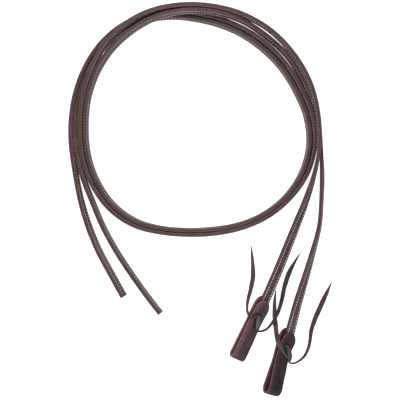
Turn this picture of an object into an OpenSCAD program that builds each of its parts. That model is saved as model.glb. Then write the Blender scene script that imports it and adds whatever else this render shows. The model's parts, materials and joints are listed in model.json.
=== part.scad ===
// A pair of western split reins, coiled and laid down.
// Each rein is two plies of harness leather sewn together with two rows of
// stitching. The bit end slips into a folded water loop, tied with a leather lace.
// Frame: X to the right and Y away, along the floor; Z up; floor at Z = 0.

/* [Rein straps] */
// Width of each rein strap
strap_w = 15.9; // [14.5:0.1:16.2]
// Thickness of one ply of a rein
ply_t = 3.2; // [2.6:0.1:3.3]
// Bevel on the edges of each ply
bevel = 0.8; // [0.3:0.1:1.2]
// Distance from the strap edge to each row of stitching
stitch_inset = 3.2; // [2:0.1:4]
// Width of the waxed thread
thread_w = 0.8; // [0.6:0.1:1.2]
// How far the thread stands out of the leather
thread_proud = 0.3; // [0.1:0.05:0.3]

/* [Water loops] */
// Width of the water loop strap
loop_w = 24; // [22:0.5:24.5]
// Thickness of the water loop leather
loop_t = 3.5; // [3:0.1:3.5]
// Radius of the eye of the first rein's water loop, pulled close
eye_r_1 = 4.8; // [4.5:0.1:5.2]
// Radius of the eye of the second rein's water loop, left open
eye_r_2 = 8.4; // [7.5:0.1:8.5]
// Length of a tied water loop, tip to fold
loop_len = 108; // [106:1:110]
// Length over which the loop tips are rounded
tip_len = 18; // [12:1:20]
// Diameter of the lace holes
hole_d = 5; // [4.8:0.1:5.5]

/* [Lacing] */
// Width of the latigo lace
lace_w = 7.9; // [7:0.1:8]
// Thickness of the latigo lace
lace_t = 2; // [1.5:0.1:2]
// Width of a lace tail at its point
lace_tip_w = 1; // [0.8:0.1:2]
// Width of the puffed bar of the tie
bar_w = 9.5; // [8:0.5:10]

/* [Lay of the coil] */
// Height of a strap's lower edge where it crosses over another strap
lift = 18; // [17.8:0.1:20]
// Gap left in a strap where it bends
flex_gap = 3; // [2.5:0.1:3.2]

/* [Hidden] */
$fn = 48;

OUTER_LEATHER = "#5a4038";
INNER_LEATHER = "#7a5f55";
THREAD = "#b5a09a";
LOOP_1_LEATHER = "#40323a";
LOOP_2_LEATHER = "#332c32";
LATIGO = "#4a2b28";

half_glue = 0.05;                 // half of the glue line between the plies
slip_fit = 0.1;                   // clearance of the rein inside its water loop
tucked_len = 52;                  // length of rein inside the water loop
leg_in_z = ply_t + slip_fit;      // inner face of a water loop leg
leg_out_z = leg_in_z + loop_t;    // outer face of a water loop leg
reach = 20;                       // cutting height, past either face of a loop leg

// ---- Water loop placement ------------------------------------------------
// [tip of the loop [x, y, height of its middle], heading, roll,
//  how far the loop sits to one side of the strap, radius of its eye,
//  two lace holes, two ends of the bar of the tie],
// the last two as [across, along] from the tip
LOOP_1 = [[115.5, -286, 13.2], -115.5, 27, 1.6, eye_r_1,
    [[3.2, 25.5], [-3.5, 46]], [[1.3, 29.5], [-5.2, 47.2]]];
LOOP_2 = [[156.7, -338.8, 14.8], -105.4, 30, 3.9, eye_r_2,
    [[4.4, 20.8], [-4.2, 42.5]], [[-1.1, 27], [-9, 43.3]]];

function loop_tip(loop) = loop[0];
function loop_heading(loop) = loop[1];
function loop_roll(loop) = loop[2];
function loop_offset(loop) = loop[3];
function eye_r(loop) = loop[4];
function hole_places(loop) = loop[5];
function bar_ends(loop) = loop[6];

// ---- Lay of the two reins ------------------------------------------------
// The reins run clockwise from their square-cut tails, one and a half turns
// round, to the bit ends. A waypoint is [x, y, height of the lower edge, roll],
// with x and y from the middle of the coil; roll is 90 for a strap on edge and
// 0 for a strap flat on the floor.
centre = [-8.6, 119.5];   // middle of the coil in the part's frame
table_lift = 18;          // the value of lift that the heights in lay are for

// [bearing, radius of rein 1, radius of rein 2, height 1, height 2, roll,
//  and the roll of rein 2 where it leans further]
lay = [
    [180, 204.3, 196.6, 0, 0, 105], [166, 204.3, 196.6, 0, 0, 104],
    [152, 205.7, 198.1, 0, 0, 104], [139, 207.0, 199.2, 0, 0, 105],
    [126, 205.7, 197.6, 0, 0, 106], [113, 200.4, 192.2, 0, 0, 106],
    [101, 193.2, 185.0, 0, 0, 106], [90, 186.6, 178.0, 0, 0, 106],
    [78, 182.3, 173.4, 0, 0, 106], [65, 180.2, 171.0, 0, 0, 106],
    [50, 179.9, 170.0, 0, 0, 107], [35, 181.6, 171.9, 0, 0, 107],
    [20, 185.4, 175.9, 0, 0, 106], [5, 193.8, 184.2, 0, 0, 106],
    [-9, 199.4, 190.2, 0, 0, 105], [-22, 199.9, 191.3, 0, 0, 102],
    [-36, 196.1, 188.6, 0, 0, 98], [-50, 190.8, 183.4, 0, 0, 95],
    [-65, 183.8, 176.4, 0, 0, 95], [-80, 178.4, 170.9, 0, 0, 98],
    [-95, 178.1, 170.7, 0, 0, 97], [-109, 183.3, 175.9, 0, 0, 97],
    [-121, 190.2, 182.3, 0, 0, 101], [-135, 194.3, 185.6, 0, 0, 105],
    [-150, 193.7, 184.4, 0, 0, 106], [-165, 191.0, 181.9, 1, 1, 106],
    [-180, 189.0, 180.0, 6, 6, 107], [-195, 190.4, 181.7, 14, 14, 107],
    [-209, 194.6, 185.0, 18, 18, 112, 117], [-222, 201.0, 187.6, 18, 18, 113, 119],
    [-235, 203.6, 189.2, 18, 18, 111, 118], [-248, 204.0, 191.2, 18, 18, 108, 114],
    [-262, 201.6, 191.4, 18, 18, 108, 112], [-276, 200.1, 191.0, 18, 18, 108, 110],
    [-291, 200.6, 191.4, 18, 13, 107], [-309, 201.4, 190.2, 18, 4, 106],
    [-325, 201.4, 192.5, 18, 0, 106], [-340, 202.6, 194.2, 18, 0, 104],
    [-353, 203.4, 202.3, 18, 0, 100], [-368, 207.2, 209.4, 18, 0, 94]];

// Waypoints before the coil (tail) and after it (drop)
tail_1 = [
    [-117.2, -279.7, 0, 118], [-138.3, -241.5, 0, 118], [-158.1, -204.6, 0, 118],
    [-175.6, -162.2, 0, 116], [-188, -120.3, 0, 112], [-195.4, -84.2, 0, 108]];
tail_2 = [
    [-56.5, -307.3, 0, 108], [-71, -288.8, 0, 108], [-101.9, -246.4, 0, 108],
    [-129.2, -204.9, 0, 108], [-152, -163, 0, 108], [-169.8, -120.8, 0, 107],
    [-183, -87.5, 0, 106]];
drop_1 = [
    [195.6, -82.5, 16.5, 80], [183.4, -120.3, 11, 64], [167.1, -162.2, 6.5, 48],
    [150.4, -204.1, 4.5, 38], [133.2, -246.2, 5.5, 30]];
drop_2 = [
    [210.0, -80.9, 0, 81], [208.7, -120.5, 0, 83], [205.4, -162.6, 0, 81],
    [195, -204.6, 0, 72], [182.8, -246.7, 1.5, 58], [169.9, -288.8, 5, 43]];

function lay_waypoint(row, number) = [
    row[number]*cos(row[0]),
    row[number]*sin(row[0]),
    row[number + 2]*lift/table_lift,
    number == 2 && len(row) > 6 ? row[6] : row[5]];
function tip_waypoint(loop) = let (tip = loop_tip(loop), roll = loop_roll(loop))
    [tip.x, tip.y, tip.z - strap_w/2*sin(roll) - ply_t*cos(roll), roll];

// ---- A smooth curve through the waypoints --------------------------------
// A place on a curve is a waypoint number with a fraction, u.
slope_step = 0.002;   // step either side of u for a rein's direction
end_margin = 0.02;    // no station lies nearer than this to the end of a run

function last(list) = len(list) - 1;
function flat(point) = [point[0], point[1]];
function hermite(start, end, start_slope, end_slope, f) =
    (2*f*f*f - 3*f*f + 1)*start + (f*f*f - 2*f*f + f)*start_slope
    + (3*f*f - 2*f*f*f)*end + (f*f*f - f*f)*end_slope;

function span_lengths(path) =
    [for (i = [0:last(path) - 1]) norm(flat(path[i + 1]) - flat(path[i]))];
function path_slopes(path, lengths, end_slope) = let (
    chords = [for (i = [0:last(lengths)]) (path[i + 1] - path[i])/lengths[i]],
    middle = [for (i = [1:last(lengths)])
        (chords[i]*lengths[i - 1] + chords[i - 1]*lengths[i])/(lengths[i] + lengths[i - 1])])
    concat([2*chords[0] - middle[0]], middle, [end_slope]);

// A rein: its path, the slopes and span lengths of its curve, where it bends
// [after the tail, before the drop, within the drop], where its stitching
// starts, and its water loop
function rein(number, tail, drop, bends, stitch_start, loop) = let (
    path = concat(tail, [for (row = lay) lay_waypoint(row, number)], drop,
        [tip_waypoint(loop)]),
    lengths = span_lengths(path),
    heading = loop_heading(loop),
    slopes = path_slopes(path, lengths, [cos(heading), sin(heading), 0, 0]))
    [path, slopes, lengths, bends, stitch_start, loop];
function rein_path(rein) = rein[0];
function rein_slopes(rein) = rein[1];
function rein_lengths(rein) = rein[2];
function rein_bends(rein) = rein[3];
function rein_stitch_start(rein) = rein[4];
function rein_loop(rein) = rein[5];

REIN_1 = rein(1, tail_1, drop_1, [4.4, 46.25, 48.65], 0.06, LOOP_1);
REIN_2 = rein(2, tail_2, drop_2, [5.4, 47.45, 49.1], 0.1, LOOP_2);

// Waypoint values at u; past the last waypoint the rein runs straight on, and
// one unit of u is the length inside the water loop
function rein_point(rein, u) = let (path = rein_path(rein), slopes = rein_slopes(rein),
    end = last(path))
    u >= end ? path[end] + (u - end)*tucked_len*slopes[end] :
    let (i = floor(u), length = rein_lengths(rein)[i])
    hermite(path[i], path[i + 1], length*slopes[i], length*slopes[i + 1], u - i);
function rein_direction(rein, u) = let (end = last(rein_path(rein)))
    u >= end ? flat(rein_slopes(rein)[end]) :
    let (step = flat(rein_point(rein, min(u + slope_step, end))
        - rein_point(rein, max(u - slope_step, 0))))
    step/norm(step);

// Middle of the strap at u, with its width and thickness directions
function station(rein, u) = let (
    point = rein_point(rein, u),
    direction = rein_direction(rein, u),
    right = [direction[1], -direction[0]],
    roll = point[3],
    z = max(point[2], 0) + strap_w/2*abs(sin(roll)) + ply_t*abs(cos(roll)))
    [[point[0], point[1], z],
     [cos(roll)*right[0], cos(roll)*right[1], sin(roll)],
     [-sin(roll)*right[0], -sin(roll)*right[1], cos(roll)]];

// Places of the stations from start to end, with a number of steps to a span
function steps(start, end, per_span) = concat([start],
    [for (k = [floor(start*per_span) + 1:ceil(end*per_span) - 1])
        if (k/per_span > start + end_margin && k/per_span < end - end_margin) k/per_span],
    [end]);

// A strip of constant section swept through stations. section is a list of
// [across, through] points, anticlockwise. flip turns the diagonals over, so
// that two plies meet on the same facets where they twist.
module strip(stations, section, flip = false) {
    m = len(section);
    n = len(stations);
    points = [for (s = stations) for (q = section) s[0] + q[0]*s[1] + q[1]*s[2]];
    sides = [for (i = [0:n - 2]) for (j = [0:m - 1]) let (k = (j + 1) % m,
        a = i*m + j, b = i*m + k, c = (i + 1)*m + j, d = (i + 1)*m + k)
        each (flip ? [[a, b, c], [b, d, c]] : [[a, b, d], [a, d, c]])];
    ends = [[for (j = [0:m - 1]) m - 1 - j], [for (j = [0:m - 1]) (n - 1)*m + j]];
    polyhedron(points = points, faces = concat(sides, ends), convexity = 10);
}

// Moves from the middle of the coil to the part's frame
module in_coil() translate([centre.x, centre.y, 0]) children();

// In a loop's own frame X is across the strap, Y runs from the tip to the fold
// and Z is out of the front face.
module in_loop(loop)
    in_coil() translate(loop_tip(loop)) rotate([0, 0, loop_heading(loop) - 90])
        rotate([0, -loop_roll(loop), 0]) children();
module lace_holes(loop)
    for (hole = hole_places(loop))
        translate([hole.x, hole.y, -reach]) cylinder(d = hole_d, h = 2*reach);

// ---- Reins ---------------------------------------------------------------
// Parts of a rein, in order from its tail
TAIL = 0;
COIL = 1;
UPPER = 2;
LOWER = 3;
part_steps = [3, 3, 5, 5];   // stations to a span in each part
stitch_end = 0.1;            // stitching stops this part of a span before the loop tip

// Place beside a bend, half of the flex gap before (side -1) or after it (side 1)
function beside_bend(rein, bend, side) = let (u = rein_bends(rein)[bend])
    u + side*flex_gap/2/rein_lengths(rein)[floor(u)];
function part_start(rein, part) = part == TAIL ? 0 : beside_bend(rein, part - 1, 1);
function part_end(rein, part) =
    part == LOWER ? last(rein_path(rein)) + 1 : beside_bend(rein, part, -1);
function part_stations(rein, part, start, end) =
    [for (u = steps(start, end, part_steps[part])) station(rein, u)];

// side is 1 for the outer ply, on the outside of the coil, and -1 for the inner
function ply_section(side) = let (w = strap_w/2, e = bevel, g = half_glue, t = ply_t)
    side > 0 ? [[-w, g], [w, g], [w, t - e], [w - e, t], [-w + e, t], [-w, t - e]]
             : [[-w, -g], [-w, -t + e], [-w + e, -t], [w - e, -t], [w, -t + e], [w, -g]];
function thread_section(x) = let (half_w = thread_w/2, z = ply_t + thread_proud)
    [[x - half_w, -z], [x + half_w, -z], [x + half_w, z], [x - half_w, z]];

module ply(rein, part, side) {
    stations = part_stations(rein, part, part_start(rein, part), part_end(rein, part));
    color(side > 0 ? OUTER_LEATHER : INNER_LEATHER) difference() {
        in_coil() strip(stations, ply_section(side), flip = side < 0);
        if (part == LOWER) in_loop(rein_loop(rein)) lace_holes(rein_loop(rein));
    }
}
module outer_ply(rein, part) ply(rein, part, 1);
module inner_ply(rein, part) ply(rein, part, -1);

// Each row is one strip of thread, right through both plies
module stitching(rein, part) {
    start = part == TAIL ? rein_stitch_start(rein) : part_start(rein, part);
    end = part == LOWER ? last(rein_path(rein)) - stitch_end : part_end(rein, part);
    stations = part_stations(rein, part, start, end);
    color(THREAD) in_coil() for (side = [-1, 1])
        strip(stations, thread_section(side*(strap_w/2 - stitch_inset)));
}

module rein_1_coil_outer_ply() outer_ply(REIN_1, COIL);
module rein_1_coil_inner_ply() inner_ply(REIN_1, COIL);
module rein_1_coil_stitching() stitching(REIN_1, COIL);
module rein_1_tail_outer_ply() outer_ply(REIN_1, TAIL);
module rein_1_tail_inner_ply() inner_ply(REIN_1, TAIL);
module rein_1_tail_stitching() stitching(REIN_1, TAIL);
module rein_1_drop_upper_outer_ply() outer_ply(REIN_1, UPPER);
module rein_1_drop_upper_inner_ply() inner_ply(REIN_1, UPPER);
module rein_1_drop_upper_stitching() stitching(REIN_1, UPPER);
module rein_1_drop_lower_outer_ply() outer_ply(REIN_1, LOWER);
module rein_1_drop_lower_inner_ply() inner_ply(REIN_1, LOWER);
module rein_1_drop_lower_stitching() stitching(REIN_1, LOWER);
module rein_2_coil_outer_ply() outer_ply(REIN_2, COIL);
module rein_2_coil_inner_ply() inner_ply(REIN_2, COIL);
module rein_2_coil_stitching() stitching(REIN_2, COIL);
module rein_2_tail_outer_ply() outer_ply(REIN_2, TAIL);
module rein_2_tail_inner_ply() inner_ply(REIN_2, TAIL);
module rein_2_tail_stitching() stitching(REIN_2, TAIL);
module rein_2_drop_upper_outer_ply() outer_ply(REIN_2, UPPER);
module rein_2_drop_upper_inner_ply() inner_ply(REIN_2, UPPER);
module rein_2_drop_upper_stitching() stitching(REIN_2, UPPER);
module rein_2_drop_lower_outer_ply() outer_ply(REIN_2, LOWER);
module rein_2_drop_lower_inner_ply() inner_ply(REIN_2, LOWER);
module rein_2_drop_lower_stitching() stitching(REIN_2, LOWER);

// ---- Water loops ---------------------------------------------------------
leg_end_y = 54;        // where the straight legs turn towards the eye
flex_y = 60;           // where the water loop flexes
back_tip = 6;          // the back leg is longer by this much
skive_y = 6;           // where the skive of the back leg starts
skive_share = 0.75;    // share of the leather skived away just past the tip
tangent_inset = 0.03;  // each leg meets the eye a hair inside its circle

// Side view of a layer folded round the eye: circle of radius r, legs to height z
module fold_layer(loop, r, z, start_y) {
    eye_y = loop_len - eye_r(loop) - loop_t;
    // tangent from (leg_end_y, z) to the circle
    distance = norm([eye_y - leg_end_y, z]);
    angle = 180 - atan2(z, eye_y - leg_end_y) - acos(r/distance);
    touch = (r - tangent_inset)*[cos(angle), sin(angle)];
    translate([eye_y, 0]) circle(r, $fn = 96);
    polygon([
        [start_y, -z], [leg_end_y, -z], [eye_y + touch.x, -touch.y],
        [eye_y + touch.x, touch.y], [leg_end_y, z], [start_y, z]]);
}
module folded_strap(loop)
    difference() {
        rotate([90, 0, 90]) translate([0, 0, loop_offset(loop) - loop_w/2])
            linear_extrude(loop_w) difference() {
                fold_layer(loop, eye_r(loop) + loop_t, leg_out_z, -back_tip - 1);
                fold_layer(loop, eye_r(loop), leg_in_z, -back_tip - 5);
            }
        lace_holes(loop);
    }
// Plan of a leg: a rounded tip at tip_y, cut square where the loop flexes
module leg_outline(loop, tip_y)
    translate([loop_offset(loop), tip_y]) {
        translate([0, tip_len]) scale([loop_w/2, tip_len]) circle(1);
        translate([-loop_w/2, tip_len])
            square([loop_w, flex_y - flex_gap/2 - tip_len - tip_y]);
    }
// side is 1 for the front leg and -1 for the back leg
module water_loop_leg(loop, side, colour)
    color(colour) in_loop(loop) difference() {
        intersection() {
            folded_strap(loop);
            translate([0, 0, side > 0 ? 0 : -reach]) linear_extrude(reach)
                leg_outline(loop, side > 0 ? 0 : -back_tip);
        }
        // the inner face of the back leg is skived thin towards its tip
        if (side < 0) rotate([90, 0, 90]) translate([0, 0, -30]) linear_extrude(60)
            polygon([
                [-back_tip - 2, 0], [-back_tip - 2, -leg_in_z - skive_share*loop_t],
                [skive_y, -leg_in_z], [skive_y, 0]]);
    }
module water_loop_eye(loop, colour)
    color(colour) in_loop(loop) intersection() {
        folded_strap(loop);
        translate([-25, flex_y + flex_gap/2, -reach]) cube([50, 80, 2*reach]);
    }
module water_loop_1_front_leg() water_loop_leg(LOOP_1, 1, LOOP_1_LEATHER);
module water_loop_1_back_leg() water_loop_leg(LOOP_1, -1, LOOP_1_LEATHER);
module water_loop_1_eye() water_loop_eye(LOOP_1, LOOP_1_LEATHER);
module water_loop_2_front_leg() water_loop_leg(LOOP_2, 1, LOOP_2_LEATHER);
module water_loop_2_back_leg() water_loop_leg(LOOP_2, -1, LOOP_2_LEATHER);
module water_loop_2_eye() water_loop_eye(LOOP_2, LOOP_2_LEATHER);

// ---- Ties ----------------------------------------------------------------
plug_d = hole_d - 0.4;
plug_proud = 1.2;       // how far a plug stands out of each face of the loop
tie_gap = 0.3;          // between a face of the loop and the bar or the span
puff = 1.5;             // rise of the bar at its middle
bar_steps = 10;
bar_tip_share = 0.55;   // widths as a share of the full width, at the tips
bar_end_share = 0.8;    // and one step in from them
span_w = hole_d*0.8;    // width of the flat span at the back

function bar_station(i, length) = let (
    f = i/bar_steps,
    swell = sin(180*min(max(f, 0), 1)),
    share = i < 0 || i > bar_steps ? bar_tip_share : bar_end_share + (1 - bar_end_share)*swell)
    [[f*length, 0, leg_out_z + tie_gap + lace_t/2 + puff*swell], [0, -share, 0], [0, 0, 1]];
bar_section = let (a = bar_w/2, b = lace_t/2)
    [[-a, -b], [a, -b], [a, b*0.2], [a*0.6, b*1.4], [-a*0.6, b*1.4], [-a, b*0.2]];

// Moves to a point of the loop's plan, with X turned along a vector
module aim(start, vector)
    translate([start.x, start.y, 0]) rotate([0, 0, atan2(vector.y, vector.x)]) children();

// A plug through each hole, a puffed bar in front, a flat span behind
module knot(loop) {
    holes = hole_places(loop);
    bar = bar_ends(loop)[1] - bar_ends(loop)[0];
    span = holes[1] - holes[0];
    color(LATIGO) in_loop(loop) {
        for (hole = holes) translate([hole.x, hole.y, -leg_out_z - plug_proud])
            cylinder(d = plug_d, h = 2*(leg_out_z + plug_proud));
        aim(bar_ends(loop)[0], bar)
            strip([for (i = [-1:bar_steps + 1]) bar_station(i, norm(bar))], bar_section);
        aim(holes[0], span) translate([0, -span_w/2, -leg_out_z - tie_gap - lace_t])
            cube([norm(span), span_w, lace_t]);
    }
}
module lace_1_knot() knot(LOOP_1);
module lace_2_knot() knot(LOOP_2);

// ---- Lace tails ----------------------------------------------------------
// Waypoints [x, y, z, width as a share of the full width, twist]
tip_share = lace_tip_w/lace_w;
left_1 = [
    [101.5, -310.7, 24.4, 0.6, 0], [96.7, -312.3, 27, 0.95, 0], [91.6, -311.4, 28.6, 0.9, 20],
    [87, -306.5, 23.5, 0.75, 50], [85.6, -298.5, 17, 0.75, 60], [87.2, -285.8, 11, 0.82, 40],
    [92.7, -264, 5.5, 0.92, 12], [95.9, -244.2, 3.2, 0.98, 0], [94.6, -216.2, 2.4, 0.62, 5],
    [92.2, -193.5, 2.0, tip_share, 5]];
right_1 = [
    [104.9, -337.2, 16.6, 0.4, 0], [111, -336.4, 15.9, 0.46, 12], [119.2, -332.5, 12.5, 0.58, 35],
    [129.3, -320.3, 10.5, 0.7, 28], [137, -305.5, 9, 0.8, 15], [143.2, -285.5, 8.5, 0.88, 8],
    [147.2, -265.7, 8.5, 0.94, 0], [155.2, -241, 8, 1, 0], [166.6, -219.5, 7.5, 0.5, 5],
    [174.9, -206.3, 7.0, tip_share, 5]];
left_2 = [
    [149.7, -376.6, 23.4, 0.5, 0], [145.5, -371, 27, 0.75, 0], [140.6, -363, 31.2, 0.95, 5],
    [136.4, -352.7, 27.6, 1, 14], [134.2, -340, 14.6, 1, 20], [132.9, -326.7, 6, 1, 10],
    [131.5, -311.4, 2.6, 0.92, 0], [131.6, -288.8, 1.4, 0.7, 0],
    [133.8, -268.2, 1.3, tip_share, 0]];
right_2 = [
    [156.9, -389, 15.4, 0.34, 0], [162, -389.9, 14.2, 0.4, 10], [171, -386.3, 10.6, 0.5, 30],
    [180.6, -377.7, 6.5, 0.66, 35], [187.2, -364.5, 4.5, 0.7, 20], [190, -351.3, 3.4, 0.74, 5],
    [192.2, -335, 3.0, 0.88, 0], [197.4, -319, 2.8, 1, 0], [203.8, -303.8, 2.6, 1.05, 0],
    [214.6, -280, 2.2, 0.95, 0], [226, -255.8, 1.6, tip_share, 0]];
left_2_bend = 5.2;        // where the second lace's left tail turns on the floor
lace_half_gap = 0.1;      // half of the gap there, as part of a span
lace_slope_step = 0.02;   // step either side of u for a lace's direction
lace_steps = 4;           // stations to a span

function lace_point(path, u) = let (
    end = last(path),
    i = min(floor(u), end - 1),
    start_slope = (path[i + 1] - path[max(i - 1, 0)])/(i == 0 ? 1 : 2),
    end_slope = (path[min(i + 2, end)] - path[i])/(i == end - 1 ? 1 : 2))
    hermite(path[i], path[i + 1], start_slope, end_slope, u - i);
function place(point) = [point[0], point[1], point[2]];
function lace_station(path, u) = let (
    point = lace_point(path, u),
    step = place(lace_point(path, min(u + lace_slope_step, last(path)))
        - lace_point(path, max(u - lace_slope_step, 0))),
    direction = step/norm(step),
    right = [direction[1], -direction[0], 0]/norm(flat(direction)),
    up = cross(right, direction),
    twist = point[4])
    [place(point),
     (cos(twist)*right + sin(twist)*up)*point[3]*lace_w/2,
     (cos(twist)*up - sin(twist)*right)*lace_t/2];

module lace(path, start, end)
    color(LATIGO) in_coil()
        strip([for (u = steps(start, end, lace_steps)) lace_station(path, u)],
            [[-1, -1], [1, -1], [1, 1], [-1, 1]]);

module lace_1_left_tail() lace(left_1, 0, last(left_1));
module lace_1_right_tail() lace(right_1, 0, last(right_1));
module lace_2_left_lead() lace(left_2, 0, left_2_bend - lace_half_gap);
module lace_2_left_tail() lace(left_2, left_2_bend + lace_half_gap, last(left_2));
module lace_2_right_tail() lace(right_2, 0, last(right_2));

rein_1_coil_outer_ply();
rein_1_coil_inner_ply();
rein_1_coil_stitching();
rein_1_tail_outer_ply();
rein_1_tail_inner_ply();
rein_1_tail_stitching();
rein_1_drop_upper_outer_ply();
rein_1_drop_upper_inner_ply();
rein_1_drop_upper_stitching();
rein_1_drop_lower_outer_ply();
rein_1_drop_lower_inner_ply();
rein_1_drop_lower_stitching();
rein_2_coil_outer_ply();
rein_2_coil_inner_ply();
rein_2_coil_stitching();
rein_2_tail_outer_ply();
rein_2_tail_inner_ply();
rein_2_tail_stitching();
rein_2_drop_upper_outer_ply();
rein_2_drop_upper_inner_ply();
rein_2_drop_upper_stitching();
rein_2_drop_lower_outer_ply();
rein_2_drop_lower_inner_ply();
rein_2_drop_lower_stitching();
water_loop_1_front_leg();
water_loop_1_back_leg();
water_loop_1_eye();
water_loop_2_front_leg();
water_loop_2_back_leg();
water_loop_2_eye();
lace_1_knot();
lace_1_left_tail();
lace_1_right_tail();
lace_2_knot();
lace_2_left_lead();
lace_2_left_tail();
lace_2_right_tail();
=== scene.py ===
"""A pair of leather split reins, each ending in a water loop tied with a lace.

The reins lie on the XY plane, longest along Y, with +Z up. The frame is in metres and
the sizes below are in mm. Each rein is two sewn plies, swept along a middle line that is
read from the CAD pieces. Each water loop has its own frame: x across, y from the tip
towards the eye, z outward, with the front leg on the +z side.
"""

import json
import math

import bpy
import numpy as np
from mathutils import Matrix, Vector


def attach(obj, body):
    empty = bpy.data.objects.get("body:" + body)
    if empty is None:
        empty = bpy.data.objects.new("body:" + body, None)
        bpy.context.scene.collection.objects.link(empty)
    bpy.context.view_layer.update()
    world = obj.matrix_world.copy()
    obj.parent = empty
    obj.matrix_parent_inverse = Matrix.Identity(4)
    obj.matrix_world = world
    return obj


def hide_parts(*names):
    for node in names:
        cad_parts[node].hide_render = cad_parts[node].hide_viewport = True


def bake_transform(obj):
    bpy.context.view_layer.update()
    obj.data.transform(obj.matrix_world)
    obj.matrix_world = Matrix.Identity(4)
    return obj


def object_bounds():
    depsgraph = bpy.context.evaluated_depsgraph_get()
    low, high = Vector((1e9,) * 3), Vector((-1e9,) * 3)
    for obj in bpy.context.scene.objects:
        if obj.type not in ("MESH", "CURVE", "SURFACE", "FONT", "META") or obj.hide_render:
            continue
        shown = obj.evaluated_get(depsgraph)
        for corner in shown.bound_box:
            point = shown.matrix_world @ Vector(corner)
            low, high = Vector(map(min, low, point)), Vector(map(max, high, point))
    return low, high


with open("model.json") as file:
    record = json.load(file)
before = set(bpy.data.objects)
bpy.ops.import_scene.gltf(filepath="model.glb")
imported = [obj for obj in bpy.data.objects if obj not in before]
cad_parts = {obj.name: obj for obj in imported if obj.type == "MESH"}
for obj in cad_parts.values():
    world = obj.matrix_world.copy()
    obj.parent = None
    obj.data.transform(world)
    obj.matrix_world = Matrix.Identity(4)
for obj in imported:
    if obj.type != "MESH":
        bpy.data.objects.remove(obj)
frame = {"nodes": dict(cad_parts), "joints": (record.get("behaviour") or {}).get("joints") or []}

CAD_BOX = [list(c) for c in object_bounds()]
MM = 0.001

# ---- sizes in mm -------------------------------------------------------------
HALF_W = 7.95  # half the width of a rein
PLY = 3.2  # thickness of one ply
INSET = 3.2  # stitch row in from the edge
ROW = HALF_W - INSET  # stitch row out from the middle
PITCH = 5.08  # five stitches to the inch
THREAD_W = 1.3
BEND = 30.0  # the tail run ends this far past its hinge, and the coil at most this far short of the drop hinge
PATH_STEP = 0.5  # between samples of a middle line
HIDDEN = (8.0, 22.0, 37.0, 52.0)  # stations of a rein's hidden end, along its loop
LOOP_W = 24.0
LOOP_T = 3.5
LEG_GAP = 3.3  # from the middle of a loop to the inner face of a leg
LEG_FACE = LEG_GAP + LOOP_T  # to its outer face
LEG_SPLIT = 54.0  # where the legs start to open towards the eye
ROW_STEP = 0.85  # between sections along a straight leg
TIP_LEN = 18.0  # a water loop's tips are rounded over this length
BACK_TIP = 6.0  # the back leg is longer by this much
# lace holes and the two ends of the tie's bar, as x and y of each loop's frame
TIES = {
    1: {"hole_a": (3.2, 25.5), "hole_b": (-3.5, 46.0), "bar": ((1.3, 29.5), (-5.2, 47.2))},
    2: {"hole_a": (4.4, 20.8), "hole_b": (-4.2, 42.5), "bar": ((-1.1, 27.0), (-9.0, 43.3))},
}

JOINTS = {joint["name"]: joint for joint in frame["joints"]}
LOW_JOINT = {1: "drop_lift", 2: "drop_curl"}  # the lowest hinge of each rein
Z = np.array([0.0, 0.0, 1.0])


# ---- vectors and curves ------------------------------------------------------
def unit(v):
    v = np.asarray(v, float)
    return v / np.linalg.norm(v, axis=-1, keepdims=True)


def dots(one, other):
    """Dot product of each row of one with the same row of other."""
    return np.einsum("ij,ij->i", one, other)


def run_length(points):
    """Length along a line up to each of its points."""
    return np.concatenate([[0], np.cumsum(np.linalg.norm(np.diff(points, axis=0), axis=1))])


def smoothstep(x):
    x = np.clip(x, 0, 1)
    return x * x * (3 - 2 * x)


def bell(x):
    return np.exp(-(x**2))


def wander(s, seed, wave=90.0):
    """A slow, smooth, repeatable wobble between about -1 and 1."""
    out = np.zeros_like(s, float)
    for i in range(4):
        rate = (1 + 0.83 * i + 0.17 * ((seed * 7 + i * 3) % 5)) / wave
        phase = seed * 1.7 + i * 2.3 + seed * i
        out += math.pow(0.72, i) * np.sin(2 * math.pi * rate * s + phase)
    return out / 2.4


def tangents(knots, values):
    step = np.diff(knots)[:, None]
    slope = np.diff(values, axis=0) / step
    out = np.empty_like(values)
    out[1:-1] = (slope[:-1] * step[1:] + slope[1:] * step[:-1]) / (step[:-1] + step[1:])
    out[0], out[-1] = 2 * slope[0] - out[1], 2 * slope[-1] - out[-2]
    return out


def hermite(knots, values, at):
    """A smooth curve through values at knots, read at the places `at`."""
    slope = tangents(knots, values)
    i = np.clip(np.searchsorted(knots, at, side="right") - 1, 0, len(knots) - 2)
    width = (knots[i + 1] - knots[i])[:, None]
    f = ((at - knots[i])[:, None]) / width
    return (
        (2 * f**3 - 3 * f**2 + 1) * values[i]
        + (f**3 - 2 * f**2 + f) * width * slope[i]
        + (3 * f**2 - 2 * f**3) * values[i + 1]
        + (f**3 - f**2) * width * slope[i + 1]
    )


class Path:
    """A smooth middle line with its across and outward directions, by length in mm."""

    def __init__(self, middle, across, outward):
        knots = run_length(middle)
        at = np.linspace(0, knots[-1], int(knots[-1] / (PATH_STEP * MM)) + 2)
        self.samples = hermite(knots, np.hstack([middle, across, outward]), at)
        self.middle = self.samples[:, :3]
        self.lengths = run_length(self.middle) / MM
        self.length = float(self.lengths[-1])

    def at(self, s):
        """Middle, across and outward at lengths s."""
        columns = [np.interp(s, self.lengths, column) for column in self.samples.T]
        mixed = np.stack(columns, -1)
        return mixed[..., :3], mixed[..., 3:6], mixed[..., 6:]

    def where(self, point):
        """Length along the line at its nearest place to point."""
        return float(self.lengths[np.argmin(np.linalg.norm(self.middle - point, axis=1))])


# ---- reading the frame -------------------------------------------------------
def hinge(name):
    return np.array(JOINTS[name]["pos_m"])


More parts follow.
